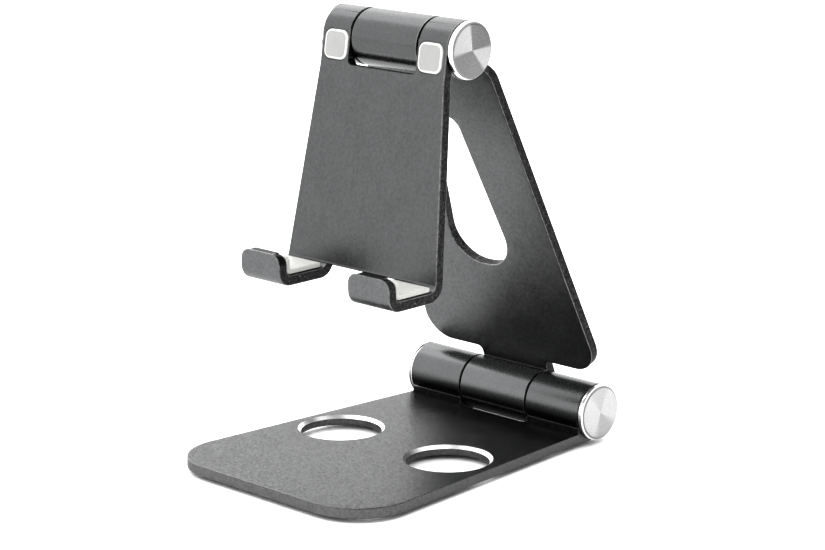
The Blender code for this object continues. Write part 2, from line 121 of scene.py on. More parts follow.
# Arm: heights run up the arm from the lower axis.
ARM_LENGTH = (UPPER - LOWER).length / MM
ARM_LEAN = math.atan2(LOWER.y - UPPER.y, UPPER.z - LOWER.z)
ARM_BACK = 7.85                     # back face of the plate behind the axes
ARM_BOTTOM, ARM_TOP = 9.35, 106.9
ARM_BOTTOM_HALF, ARM_TOP_HALF = 32.7, 23.2
CUTOUT_BOTTOM, CUTOUT_TOP = 40.5, 89.5
CUTOUT_BOTTOM_HALF, CUTOUT_TOP_HALF = 12.2, 5.2

# Holder: depths run down the plate from the upper axis, "forward" is -Y.
HOLD_LEAN = math.atan2(rest_mount["axis"][2], -rest_mount["axis"][1])
HOLD_FRONT = 7.7                    # front face of the plate before the axis
HOLD_FLARE, HOLD_BOTTOM, HOLD_BOTTOM_HALF = 8.8, 62.6, 28.2
WINDOW_DOWN, WINDOW_HALF = 7.9, UP.seam + SEAM_HALF
HOOK_IN = 13.0                      # inner side of each hook
HOOK_DROOP = 9.0                    # degrees the hook's ledge falls forwards
LIP_LEAN = HOOK_DROOP + 1.0         # degrees the lip leans
LIP_TOP = 60.3
LEDGE_POINT = (9.3, 66.8)           # (forward, down) on the hook's outer underside
LIP_POINT = (25.4, 63.0)            # (forward, down) on the lip's outer front
LEDGE_BEND, LIP_BEND = 5.0, 4.0     # outer bend radii of the hook
LIP_CORNER = 3.0

PAD_X, PAD_HALF, PAD_TOP, PAD_BOTTOM = 17.6, 4.3, -1.0, 7.1
PAD_CORNER, PAD_SINK, PAD_PROUD = 2.3, 0.6, 0.45

BASE_POSE = Matrix.Translation(LOWER)
ARM_POSE = Matrix.Translation(LOWER) @ Matrix.Rotation(ARM_LEAN, 4, "X")
HOLDER_POSE = Matrix.Translation(UPPER) @ Matrix.Rotation(-HOLD_LEAN, 4, "X")

# ------------------------------------------------------------------ material kit
# Parts of the noise's range that a ramp stretches; a narrower part gives more contrast.
SOFT, FIRM, HARD, HARDEST = (0.3, 0.7), (0.35, 0.65), (0.36, 0.64), (0.38, 0.62)


class Look:
    """A node material put together from short calls."""

    def __init__(self, name):
        self.mat = bpy.data.materials.new(name)
        self.mat.use_nodes = True
        self.tree = self.mat.node_tree
        self.bsdf = self.tree.nodes["Principled BSDF"]
        self.where = self.add("TexCoord").outputs["Object"]

    def add(self, kind, inputs=None, **settings):
        node = self.tree.nodes.new("ShaderNode" + kind)
        for key, value in settings.items():
            setattr(node, key, value)
        for key, value in (inputs or {}).items():
            self.put(node, key, value)
        return node

    def put(self, node, key, value):
        socket = node.inputs[key]
        if isinstance(value, bpy.types.NodeSocket):
            self.tree.links.new(value, socket)
        else:
            socket.default_value = value

    def set(self, key, value):
        self.put(self.bsdf, key, value)

    def noise(self, size, detail=2.0, rough=0.5, stretch=(1, 1, 1), seed=0.0):
        """Noise whose features are about size millimetres wide; seed shifts it."""
        spot = self.add("Mapping", {"Vector": self.where, "Scale": stretch,
                                    "Rotation": (0.5, 0.8, 0.3),
                                    "Location": (seed * 0.1, seed * 0.07, seed * 0.13)})
        return self.add("TexNoise", {"Vector": spot.outputs[0], "Scale": 1000.0 / size,
                                     "Detail": detail, "Roughness": rough}).outputs["Fac"]

    def ramp(self, value, span, to=(0.0, 1.0), smooth=False):
        """Maps the two ends of span to the two values of to."""
        return self.add("MapRange", {"Value": value, "From Min": span[0], "From Max": span[1],
                                     "To Min": to[0], "To Max": to[1]},
                        interpolation_type="SMOOTHSTEP" if smooth else "LINEAR").outputs["Result"]

    def calc(self, operation, one, two=0.0):
        return self.add("Math", {0: one, 1: two}, operation=operation).outputs[0]

    def plus(self, one, two):
        return self.calc("ADD", one, two)

    def times(self, one, two):
        return self.calc("MULTIPLY", one, two)

    def blend(self, share, one, two):
        """Mixes two colours; inputs 6 and 7 are the Mix node's colour sockets."""
        colours = [(*c, 1.0) if isinstance(c, tuple) else c for c in (one, two)]
        return self.add("Mix", {0: share, 6: colours[0], 7: colours[1]},
                        data_type="RGBA").outputs[2]

    def bump(self, height, distance, after=None):
        """Bump of about distance millimetres."""
        node = self.add("Bump", {"Height": height, "Distance": distance * MM, "Strength": 1.0})
        if after is not None:
            self.put(node, "Normal", after)
        return node.outputs[0]


def grey(value, warm=0.0):
    return (value * (1 + warm), value, value * (1 - warm))


# ------------------------------------------------------------------ material kinds
def paint_shade_below(look, shade, tint, depth, relit):
    """Painted shade: darkens colour and edge tint where the surface turns downwards. relit leaves the
    lowest part out of the painted shade, so it stays light.
    """
    normal = look.add("NewGeometry").outputs["Normal"]
    facing = look.add("SeparateXYZ", {"Vector": normal}).outputs[2]
    share = look.ramp(facing, span=(0.25, -0.25), to=(0.0, depth), smooth=True)
    if relit:
        below = look.ramp(facing, span=(-0.50, -0.78), to=(1.0, 0.1), smooth=True)
        share = look.times(share, below)
    return share, look.blend(share, shade, grey(0.0)), look.blend(share, tint, grey(0.0))


def anodised(name, tone=0.080, rough=0.33, grain=0.020, size=0.9, brushed=0.0, along="z",
             graze=0.85, mottle=0.30, haze=0.02, under=0.0, relit=False):
    """Blasted, dyed aluminium: fine grain, faint cloudiness, a little sparkle.

    size and grain are the grain's width and bump in mm, graze the edge tint, mottle the
    contrast, haze the spread of roughness, under how deep the painted shade below goes.
    """
    look = Look(name)
    fine = look.noise(size=size, rough=0.7)
    cloud = look.noise(size=7.0, detail=3.0, rough=0.55, seed=3.1)
    grains = look.ramp(fine, HARD)
    mixed = look.plus(look.times(grains, 0.75), look.times(look.ramp(cloud, HARDEST), 0.25))
    shade = look.blend(mixed, grey(tone * (1 - mottle), warm=-0.012),
                       grey(tone * (1 + mottle), warm=-0.012))
    roughness = look.plus(look.ramp(fine, SOFT, to=(-0.04, 0.04)),
                          look.ramp(cloud, SOFT, to=(rough - haze, rough + haze)))
    normal = look.bump(fine, grain)
    if brushed:
        stretch = {"z": (1, 1, 0.05), "x": (0.05, 1, 1)}[along]
        streak = look.noise(size=0.6, detail=3.0, rough=0.6, stretch=stretch, seed=1.7)
        shade = look.blend(look.times(look.ramp(streak, FIRM), brushed), shade, grey(tone * 1.4))
        roughness = look.plus(roughness, look.ramp(streak, SOFT,
                                                   to=(-0.05 * brushed, 0.05 * brushed)))
        normal = look.bump(streak, grain * brushed, after=normal)
    tint = look.blend(grains, grey(graze * (1 - 0.4 * mottle)),
                      grey(min(1.0, graze * (1 + 0.4 * mottle))))
    metallic = 1.0
    # Painted shade on the downward-facing side: darker colour and tint, less metallic.
    if under:
        share, shade, tint = paint_shade_below(look, shade, tint, under, relit)
        look.set("Specular IOR Level", 0.05)
        metallic = look.calc("SUBTRACT", 1.0, look.times(share, 0.62))
    look.set("Base Color", shade)
    look.set("Metallic", metallic)
    look.set("Specular Tint", tint)
    look.set("Roughness", roughness)
    look.set("Normal", normal)
    return look.mat


def worn_edge(name, tone=0.20, base=0.08):
    """The small chamfers: dye rubbed thin, so bare metal comes through in places."""
    look = Look(name)
    wear = look.noise(size=1.6, detail=4.0, rough=0.65, seed=5.0)
    fine = look.noise(size=0.25, rough=0.6)
    share = look.plus(look.ramp(wear, FIRM, to=(0.15, 0.85)), look.ramp(fine, SOFT, to=(-0.2, 0.2)))
    look.set("Base Color", look.blend(share, grey(base), grey(tone)))
    look.set("Metallic", 1.0)
    look.set("Roughness", look.ramp(fine, SOFT, to=(0.22, 0.36)))
    look.set("Normal", look.bump(fine, distance=0.008))
    return look.mat


def sheared_edge(name, tone=0.030, speck=0.26, threshold=0.62, contrast=0.55, bump=0.06):
    """Sawn and tumbled plate edges: darker, coarse, with bright specks above threshold."""
    look = Look(name)
    coarse = look.noise(size=0.9, detail=3.0, rough=0.7, seed=2.0)
    fine = look.noise(size=0.5, rough=0.7, seed=8.0)
    specks = look.ramp(fine, span=(threshold, threshold + 0.10))
    base = look.blend(look.ramp(coarse, FIRM), grey(tone * (1 - contrast)),
                      grey(tone * (1 + contrast)))
    look.set("Base Color", look.blend(look.times(specks, 0.7), base, grey(speck)))
    look.set("Metallic", 1.0)
    look.set("Specular Tint", (*grey(0.7), 1.0))
    look.set("Roughness", look.ramp(coarse, SOFT, to=(0.34, 0.48)))
    look.set("Normal", look.bump(fine, distance=0.02, after=look.bump(coarse, bump)))
    return look.mat


def cut_metal(name, tone, rough):
    """Bare aluminium left by a finishing cut round a hole, with fine tool lines."""
    look = Look(name)
    lines = look.noise(size=0.12, stretch=(1, 1, 14), seed=4.0)
    haze = look.noise(size=3.0, detail=3.0, rough=0.6)
    look.set("Base Color", look.blend(look.ramp(haze, FIRM), grey(tone * 0.93, warm=0.004),
                                      grey(tone)))
    look.set("Metallic", 1.0)
    look.set("Roughness", look.ramp(lines, SOFT, to=(rough - 0.04, rough + 0.08)))
    look.set("Normal", look.bump(lines, distance=0.004))
    return look.mat


# A darker wedge painted on a turned disc, a painted reflection; in degrees from +Y, depth is how much
# of the colour it takes away.
PaintedWedge = namedtuple("PaintedWedge", "middle half soft depth")


def spun_metal(name, tone, wedges=(), ringed=0.12, rough=0.26):
    """Turned aluminium with rings round the X axis, and painted reflection wedges that darken
    the colour by angle, held fixed in the world as the disc turns; ringed is the contrast of the
    rings."""
    look = Look(name)
    # World-aligned offsets from the axis, so the painted wedges keep still in the world.
    still = look.add("VectorTransform", {"Vector": look.where}, vector_type="VECTOR",
                     convert_from="OBJECT", convert_to="WORLD").outputs[0]
    parts = look.add("SeparateXYZ", {"Vector": still})
    across, upward = parts.outputs[1], parts.outputs[2]
    squares = [look.calc("POWER", look.calc("ABSOLUTE", side), 2.0) for side in (across, upward)]
    radius = look.calc("SQRT", look.plus(*squares))
    line = look.add("CombineXYZ", {"X": look.times(radius, 1000.0)}).outputs[0]
    rings = look.add("TexNoise", {"Vector": line, "Scale": 2.4, "Detail": 4.0,
                                  "Roughness": 0.8}).outputs["Fac"]
    fine = look.noise(size=0.35, rough=0.6)
    level = look.ramp(rings, SOFT, to=(tone * (1 - ringed), tone * (1 + ringed)))
    if wedges:
        grit = look.plus(look.times(rings, 0.6), look.times(fine, 0.4))
    # Painted reflection: each wedge darkens the colour by its angle round the axis.
    for wedge in wedges:
        middle = math.radians(wedge.middle)
        reach = look.plus(look.times(across, math.cos(middle)),
                          look.times(upward, math.sin(middle)))
        toward = look.calc("DIVIDE", reach, look.plus(radius, 1e-6))
        edges = [math.cos(math.radians(wedge.half + soft)) for soft in (wedge.soft, -wedge.soft)]
        share = look.ramp(toward, span=edges, to=(0.0, wedge.depth), smooth=True)
        gritty_painted_shade = look.times(share, look.ramp(grit, HARD, to=(1.12, 0.82)))
        level = look.times(level, look.calc("SUBTRACT", 1.0, gritty_painted_shade))
    look.set("Base Color", look.add("CombineColor", {"Red": level, "Green": level,
                                                     "Blue": level}).outputs[0])
    look.set("Metallic", 1.0)
    look.set("Roughness", look.plus(look.ramp(rings, SOFT, to=(rough - 0.05, rough + 0.06)),
                                    look.ramp(fine, SOFT, to=(-0.03, 0.03))))
    look.set("Anisotropic", 0.7)
    look.set("Tangent", look.add("Tangent", direction_type="RADIAL", axis="X").outputs[0])
    look.set("Normal", look.bump(rings, distance=0.008))
    return look.mat


def silicone(name, tone, rough):
    look = Look(name)
    fine = look.noise(size=0.28, rough=0.6)
    cloud = look.noise(size=3.5, detail=3.0, rough=0.55, seed=6.0)
    shade = tuple(value * 0.955 for value in tone)
    look.set("Base Color", look.blend(look.ramp(cloud, FIRM), shade, tone))
    look.set("Roughness", look.ramp(fine, SOFT, to=(rough - 0.07, rough + 0.07)))
    look.set("Subsurface Weight", 0.18)
    look.set("Subsurface Radius", (0.0016, 0.0013, 0.0010))
    look.set("Subsurface Scale", 1.0)
    look.set("Sheen Weight", 0.12)
    look.set("Normal", look.bump(fine, distance=0.010))
    return look.mat


def machined(name, tone, rough, stretch=(14, 1, 1), warm=0.0, metal=1.0):
    """Small parts inside the hinges: tool lines round the axis."""
    look = Look(name)
    lines = look.noise(size=0.5, detail=3.0, rough=0.6, stretch=stretch)
    haze = look.noise(size=2.2, detail=3.0, rough=0.6, seed=9.0)
    look.set("Base Color", look.blend(look.ramp(haze, FIRM), grey(tone * 0.8, warm),
                                      grey(tone, warm)))
    look.set("Metallic", metal)
    look.set("Roughness", look.ramp(lines, SOFT, to=(rough - 0.06, rough + 0.08)))
    look.set("Normal", look.bump(lines, distance=0.012))
    return look.mat


# ------------------------------------------------------------------ materials
ROUND_FINISH = dict(size=0.8, brushed=0.06, along="x", mottle=0.07)
SATIN = dict(ROUND_FINISH, rough=0.275, grain=0.0015, haze=0.006)

FLAT_BASE = anodised("blasted_anodised_base", tone=0.071, rough=0.34, grain=0.016, size=0.7,
                     mottle=0.40, graze=0.83)
FLAT_ARM = anodised("blasted_anodised_arm", tone=0.112, grain=0.018, mottle=0.18)
FLAT_HOLDER = anodised("blasted_anodised_holder", tone=0.084, brushed=0.12, mottle=0.13,
                       grain=0.012)
# Painted light: the holder's own finish, lighter on the lips' fronts.
LIP_PAINTED_LIGHT = anodised("blasted_anodised_lip_painted_light", tone=0.118, mottle=0.13, grain=0.012)
BARREL = anodised("blasted_anodised_barrel", tone=0.087, rough=0.26, grain=0.0025, haze=0.004,
                  **ROUND_FINISH)
# One satin finish on the lower hinge's knuckles: the outer ones take a darker tone as painted shade,
# and all carry painted shade on their downward-facing side, the middle one except at its lowest part.
OUTER_KNUCKLES_PAINTED_SHADE = anodised("satin_anodised_knuckle_painted_shade", tone=0.105, under=0.97, **SATIN)
MIDDLE_KNUCKLE_PAINTED_SHADE = anodised("satin_anodised_barrel_painted_shade", tone=0.120, under=0.95, relit=True, **SATIN)
WORN = worn_edge("rubbed_chamfer")
BASE_WORN = worn_edge("rubbed_base_chamfer", tone=0.12, base=0.06)
# Painted highlight: a much lighter chamfer along the front edge of the base's notch.
NOTCH_PAINTED_HIGHLIGHT = worn_edge("notch_chamfer_painted_highlight", tone=0.55, base=0.35)
# Painted highlight: a lighter line along the top edge of the ledge wall.
LEDGE_EDGE_PAINTED_HIGHLIGHT = worn_edge("ledge_edge_painted_highlight", tone=0.26, base=0.14)
SHEARED = sheared_edge("tumbled_plate_edge")
BASE_EDGE = sheared_edge("tumbled_base_edge", tone=0.113, speck=0.17, threshold=0.60,
                         contrast=0.18, bump=0.02)
BORE = anodised("anodised_bore", tone=0.09, rough=0.4)
# Painted shadow: a near-black ledge wall for the shadow gap under the knuckles.
LEDGE_WALL_PAINTED_SHADOW = sheared_edge("ledge_wall_painted_shadow", tone=0.016, speck=0.05)
CUT = cut_metal("diamond_cut_chamfer", tone=0.80, rough=0.30)
# Painted reflection wedges on the cap faces.
SPUN_UPPER = spun_metal("spun_upper_cap_painted_reflection", tone=0.36, wedges=(
    PaintedWedge(middle=51.0, half=46.0, soft=6.0, depth=0.58),
    PaintedWedge(middle=248.0, half=61.0, soft=7.0, depth=0.52)))
SPUN_LOWER = spun_metal("spun_lower_cap_painted_reflection", tone=0.40, ringed=0.06, wedges=(
    PaintedWedge(middle=97.0, half=27.0, soft=14.0, depth=0.16),
    PaintedWedge(middle=290.0, half=34.0, soft=16.0, depth=0.30)))
SPUN_RIM = spun_metal("spun_cap_rim", tone=0.80, ringed=0.05, rough=0.22)
SPUN_STEP = spun_metal("spun_cap_step", tone=0.22, ringed=0.10, rough=0.34)
SILICONE = silicone("off_white_silicone", tone=(0.40, 0.40, 0.385), rough=0.5)
# The pads are the linings' silicone: their darker tone is painted shade, the lighter rim bands a
# painted highlight on the rolled edge.
PAD_SILICONE_PAINTED_SHADE = silicone("pad_silicone_painted_shade", tone=(0.27, 0.27, 0.265), rough=0.45)
PAD_RIM_PAINTED_HIGHLIGHT = silicone("pad_rim_silicone_painted_highlight", tone=(0.50, 0.50, 0.49), rough=0.40)
FOOT_SILICONE = silicone("foot_silicone", tone=(0.74, 0.74, 0.71), rough=0.58)

# Material slots shared by the base, the arm and the holder; the builders name the rest.
FLAT, RUBBED, EDGE, ROUND = range(4)


# ------------------------------------------------------------------ mesh helpers
def link(bm):
    """A working object, in millimetres at the origin."""
    bmesh.ops.remove_doubles(bm, verts=bm.verts, dist=1e-4)
    bmesh.ops.recalc_face_normals(bm, faces=bm.faces)
    mesh = bpy.data.meshes.new("piece")
    bm.to_mesh(mesh)
    bm.free()
    made = bpy.data.objects.new("piece", mesh)
    bpy.context.collection.objects.link(made)
    return made


def paint(obj, *materials):
    for material in materials:
        obj.data.materials.append(material)


def bake(obj):
    bpy.context.view_layer.update()
    graph = bpy.context.evaluated_depsgraph_get()
    mesh = bpy.data.meshes.new_from_object(obj.evaluated_get(graph))
    old = obj.data
    obj.modifiers.clear()
    obj.data = mesh
    bpy.data.meshes.remove(old)


def combine(obj, outline, cuts):
    """Trims obj to the outline solid, then takes the cuts away in order. All are bmeshes."""
    made = []
    for k, bm in enumerate([outline] + cuts):
        tool = link(bm)
        step = obj.modifiers.new("cut", "BOOLEAN")
        step.operation = "DIFFERENCE" if k else "INTERSECT"
        step.solver = "EXACT"
        step.object = tool
        made.append(tool)
    bake(obj)
    for tool in made:
        mesh = tool.data
        bpy.data.objects.remove(tool, do_unlink=True)
        bpy.data.meshes.remove(mesh)
    clean(obj)


def clean(obj):
    bm = bmesh.new()
    bm.from_mesh(obj.data)
    bmesh.ops.remove_doubles(bm, verts=bm.verts, dist=2e-3)
    bmesh.ops.dissolve_degenerate(bm, edges=bm.edges, dist=2e-3)
    bmesh.ops.recalc_face_normals(bm, faces=bm.faces)
    bm.to_mesh(obj.data)
    bm.free()


def bevel(obj, keep):
    """Rounds the sharp edges by the share that keep(middle, angle) gives, from 0 to 1."""
    bm = bmesh.new()
    bm.from_mesh(obj.data)
    layer = bm.edges.layers.float.new("bevel_weight_edge")
    for edge in bm.edges:
        if len(edge.link_faces) != 2:
            continue
        turn = math.degrees(edge.calc_face_angle(0.0))
        if turn < 24.0:
            continue
        start, end = (vert.co for vert in edge.verts)
        share = keep((start + end) / 2, turn)
        if share:
            edge[layer] = share
    bm.to_mesh(obj.data)
    bm.free()
    step = obj.modifiers.new("edge", "BEVEL")
    step.limit_method = "WEIGHT"
    step.width = EDGE_BEVEL
    step.segments = 2
    step.use_clamp_overlap = False
    step.material = RUBBED
    step.miter_outer = "MITER_SHARP"
    bake(obj)
    bm = bmesh.new()
    bm.from_mesh(obj.data)
    bmesh.ops.remove_doubles(bm, verts=bm.verts, dist=1e-3)
    bmesh.ops.dissolve_degenerate(bm, edges=bm.edges, dist=1e-4)
    bm.to_mesh(obj.data)
    bm.free()


def inside(point, outline):
    odd = False
    for a, b in zip(outline, outline[1:] + outline[:1]):
        if ((a.y > point.y) != (b.y > point.y)
                and point.x < a.x + (point.y - a.y) / (b.y - a.y) * (b.x - a.x)):
            odd = not odd
    return odd


def clear_of(point, outline, gap):
    for a, b in zip(outline, outline[1:] + outline[:1]):
        along = b - a
        share = (point - a).dot(along) / max(along.length_squared, 1e-12)
        if (point - a - along * max(0.0, min(1.0, share))).length < gap:
            return False
    return True


def grid_inside(outline, step=6.5, margin=1.6):
    """Staggered grid points that lie inside the outline, at least margin away from it."""
    low = Vector((min(point.x for point in outline), min(point.y for point in outline)))
    high = Vector((max(point.x for point in outline), max(point.y for point in outline)))
    found = []
    for i in range(1, int((high.x - low.x) / step) + 1):
        for j in range(1, int((high.y - low.y) / step) + 1):
            point = low + Vector((i * step, (j + 0.5 * (i % 2) - 0.25) * step))
            if inside(point, outline) and clear_of(point, outline, margin):
                found.append(point)
    return found


def retile(obj):
    """Splits many-sided flat faces into even triangles; their outlines stay as they are."""
    bm = bmesh.new()
    bm.from_mesh(obj.data)
    for face in [face for face in bm.faces if len(face.verts) > 8]:
        normal = face.normal.copy()
        turn = normal.rotation_difference(Vector((0, 0, 1))).to_matrix()
        around = list(face.verts)
        flat = [turn @ vert.co for vert in around]
        height = sum(point.z for point in flat) / len(flat)
        if max(abs(point.z - height) for point in flat) > 0.01:
            continue
        outline = [Vector(point[:2]) for point in flat]
        inner = grid_inside(outline)
        count = len(outline)
        verts, _, tris, source, _, _ = delaunay_2d_cdt(
            outline + inner, [(i, (i + 1) % count) for i in range(count)], [], 1, 1e-6)
        if len(verts) != count + len(inner) or any(len(came) != 1 for came in source):
            continue
        back = turn.transposed()
        corner = [around[came[0]] if came[0] < count
                  else bm.verts.new(back @ Vector((vert.x, vert.y, height)))
                  for vert, came in zip(verts, source)]
        index, smooth = face.material_index, face.smooth
        bm.faces.remove(face)
        for tri in tris:
            made = bm.faces.new([corner[k] for k in tri])
            made.normal_update()
            if made.normal.dot(normal) < 0:
                made.normal_flip()
            made.material_index, made.smooth = index, smooth
    bm.to_mesh(obj.data)
    bm.free()


def place(obj, name, pose, body, node, kind=None, rub=None, sharp=38.0, weighted=True):
    """Scales to metres, sorts faces into materials by kind(centre, normal), and rides.
    Chamfers keep the RUBBED slot unless rub(centre, normal) names another."""
    obj.name = name
    retile(obj)
    mesh = obj.data
    mesh.name = name
    for poly in mesh.polygons:
        sort = rub if poly.material_index == RUBBED else kind
        if sort:
            poly.material_index = sort(poly.center, poly.normal)
    mesh.transform(Matrix.Scale(MM, 4))
    mesh.shade_smooth()
    mesh.set_sharp_from_angle(angle=math.radians(sharp))
    if weighted:
        step = obj.modifiers.new("even", "WEIGHTED_NORMAL")
        step.keep_sharp = True
        step.weight = 60
    obj.matrix_world = pose
    bpy.context.view_layer.update()
    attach(obj, body)
    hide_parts(node)


# ------------------------------------------------------------------ outlines and solids
def fillet(before, here, after, radius):
    """The centre of the arc that rounds a corner, the vectors from it to where the arc starts
    and ends, and half the corner's angle."""
    back, ahead = (before - here).normalized(), (after - here).normalized()
    half = back.angle(ahead) / 2
    reach = radius / math.tan(half)
    centre = here + (back + ahead).normalized() * radius / math.sin(half)
    return centre, here + back * reach - centre, here + ahead * reach - centre, half


def rounded(corners, steps):
    """A closed outline from (x, y, radius) corners; steps counts per quarter turn."""
    out = []
    for i, (x, y, radius) in enumerate(corners):
        here = Vector((x, y))
        if radius <= 0:
            out.append(here)
            continue
        centre, start, end, half = fillet(Vector(corners[i - 1][:2]), here,
                                          Vector(corners[(i + 1) % len(corners)][:2]), radius)
        turn = math.pi - 2 * half
        sign = 1 if start.cross(end) > 0 else -1
        count = max(2, round(steps * turn / (math.pi / 2)))
        for k in range(count + 1):
            angle = sign * turn * k / count
            cos, sin = math.cos(angle), math.sin(angle)
            out.append(centre + Vector((start.x * cos - start.y * sin,
                                        start.x * sin + start.y * cos)))
    return out


def mirrored(corners):
    """The corners, followed by their mirror images in reverse."""
    return corners + [(-x, y, radius) for x, y, radius in reversed(corners)]


def arc(radius, start, end, down=0.0, steps=120):
    """Points of a circle in (forward, down); degrees run from forwards to upwards."""
    angles = [math.radians(start + (end - start) * k / steps) for k in range(steps + 1)]
    return [(radius * math.cos(angle), down - radius * math.sin(angle)) for angle in angles]


# Views place an outline's two coordinates and the depth of the prism.
def top_view(x, y, depth):
    return (x, y, depth)


def arm_view(x, height, depth):
    return (x, depth, height)


def holder_view(x, down, forward):
    return (x, -forward, -down)


def side_view(forward, down, x):
    return (x, -forward, -down)


def bridge(bm, one, two):
    """Joins two closed rings with quads."""
    count = len(one)
    return [bm.faces.new((one[i], one[(i + 1) % count], two[(i + 1) % count], two[i]))
            for i in range(count)]


def prism(outline, view, low, high):
    bm = bmesh.new()
    rings = [[bm.verts.new(view(point[0], point[1], depth)) for point in outline]
             for depth in (low, high)]
    bm.faces.new(rings[0])
    bm.faces.new(rings[1])
    bridge(bm, *rings)
    bmesh.ops.recalc_face_normals(bm, faces=bm.faces)
    return bm


def turned(profile, segments, centre=None):
    """Turns a closed profile: (x, radius) about X, or (z, radius) about the vertical
    through centre."""
    bm = bmesh.new()
    rings = []
    for k in range(segments):
        angle = 2 * math.pi * (k + 0.5) / segments
        cos, sin = math.cos(angle), math.sin(angle)
        rings.append([bm.verts.new((along, radius * cos, radius * sin) if centre is None
                                   else (centre[0] + radius * cos, centre[1] + radius * sin, along))
                      for along, radius in profile])
    count = len(profile)
    for k in range(segments):
        one, two = rings[k], rings[(k + 1) % segments]
        for i in range(count):
            j = (i + 1) % count
            if profile[i][1] == 0 and profile[j][1] == 0:
                continue
            bm.faces.new((one[i], one[j], two[j], two[i]))
    bmesh.ops.remove_doubles(bm, verts=bm.verts, dist=1e-4)
    bmesh.ops.dissolve_degenerate(bm, dist=1e-5, edges=bm.edges)
    bmesh.ops.recalc_face_normals(bm, faces=bm.faces)
    return bm


def hinge_bore(hinge):
    """The bolt's hole through a barrel, with a counterbore at each end."""
    wide, narrow = COUNTERBORE_RADIUS, hinge.bolt + GAP
    past = hinge.end + 1
    return turned([(-past, 0), (-past, wide), (-hinge.floor, wide), (-hinge.floor, narrow),
                   (hinge.floor, narrow), (hinge.floor, wide), (past, wide), (past, 0)], 64)


def off_axis(at, height=0.0):
    return math.hypot(at.y, at.z - height)


# ------------------------------------------------------------------ base plate
def from_hole(at):
    """Distance from the centre line of the nearer of the two holes."""
    return math.hypot(abs(at.x) - HOLE_X, at.y - HOLE_Y)


def base_section():
    """Side view: the knuckle round the axis, down to the ledge, and the plate before it."""
    ledge_angle = -math.degrees(math.asin((AXIS_HEIGHT - LEDGE_UP) / LOW.radius))
    knuckle = arc(LOW.radius, ledge_angle, 268)
    past = BASE_LENGTH + 10
    return knuckle + [(knuckle[-1][0], -UNDER), (past, -UNDER), (past, -TOP),
                      (knuckle[0][0], -TOP)]


def base_outline():
    rear = 20
    left = [(-NOTCH_HALF, rear, 0), (-LOW.end, rear, 0), (-LOW.end, LEDGE_Y - 0.9, 0),
            (-BASE_FRONT_HALF, -BASE_LENGTH, BASE_CORNER)]
    notch = [(NOTCH_HALF, NOTCH_Y, 1.0), (-NOTCH_HALF, NOTCH_Y, 1.0)]
    return rounded(mirrored(left) + notch, 36)


def base_cuts():
    below, above = 1.0, 0.5             # how far the hole cutters pass the plate
    hole = [(UNDER - below, 0), (UNDER - below, HOLE_RADIUS + HOLE_UNDER_CHAMFER + below),
            (UNDER + HOLE_UNDER_CHAMFER, HOLE_RADIUS), (TOP - HOLE_CHAMFER, HOLE_RADIUS),
            (TOP + above, HOLE_RADIUS + HOLE_CHAMFER + above), (TOP + above, 0)]
    recess = [(UNDER - 1, 0), (UNDER - 1, FOOT_RADIUS + GAP),
              (UNDER + FOOT_SINK, FOOT_RADIUS + GAP), (UNDER + FOOT_SINK, 0)]
    return ([turned(hole, 144, (HOLE_X * side, HOLE_Y)) for side in (-1, 1)]
            + [hinge_bore(LOW)] + [turned(recess, 72, centre) for centre in FEET.values()])


def build_base():
    obj = link(prism(base_section(), side_view, -60, 60))
    combine(obj, prism(base_outline(), top_view, -20, 20), base_cuts())

    def keep(at, turn):
        if off_axis(at) < LOW.radius - 0.6 and at.y > LEDGE_Y + 0.2:
            return 0.0                      # bores
        if from_hole(at) < HOLE_RADIUS + 2.5:
            return 0.0                      # the holes have their own cut chamfer
        for x, y in FEET.values():
            if math.hypot(at.x - x, at.y - y) < FOOT_RADIUS + 1 and at.z < TOP - 0.5:
                return 0.0                  # foot recesses
        if at.y > LEDGE_Y - 0.05 and UNDER + 0.2 < at.z < TOP + 0.2:
            return 0.0                      # the inside corner at the ledge's foot
        return 1.0 if turn > 60 else 0.7

    hole_cut, bore, notch, ledge_shadow, ledge_highlight = range(4, 9)
    paint(obj, FLAT_BASE, BASE_WORN, BASE_EDGE, OUTER_KNUCKLES_PAINTED_SHADE, CUT, BORE, NOTCH_PAINTED_HIGHLIGHT, LEDGE_WALL_PAINTED_SHADOW,
          LEDGE_EDGE_PAINTED_HIGHLIGHT)
    bevel(obj, keep)

    def kind(at, normal):
        if from_hole(at) < HOLE_RADIUS + 2.0 and abs(normal.z) < 0.95:
            return hole_cut if normal.z > 0.3 else bore
        if off_axis(at) < LOW.radius - 0.6 and at.y > LEDGE_Y + 0.3 and at.z > UNDER + 1:
            return bore
        if (abs(off_axis(at) - LOW.radius) < 0.1 and at.z > TOP + 0.3
                and abs(normal.x) < 0.5):
            return ROUND
        # The ledge's front wall takes the painted shadow.
        if at.y > LEDGE_Y - 0.1 and at.z > TOP - 0.1:
            return ledge_shadow if normal.y < -0.97 and at.z < LEDGE_TOP else ROUND
        return EDGE if abs(normal.z) < 0.5 else FLAT

    def rub(at, normal):
        # The notch's front chamfer takes the painted highlight.
        if abs(at.x) < NOTCH_HALF - 0.3 and abs(at.y - NOTCH_Y) < 1.0:
            return notch
        # The ledge's top chamfer takes the painted highlight.
        on_ledge = abs(at.z - LEDGE_TOP) < 0.5 and LEDGE_Y - 0.1 < at.y < LEDGE_Y + 1
        return ledge_highlight if on_ledge and normal.y < -0.7 else RUBBED

    place(obj, "base_body", BASE_POSE, "base", "base_plate", kind, rub)


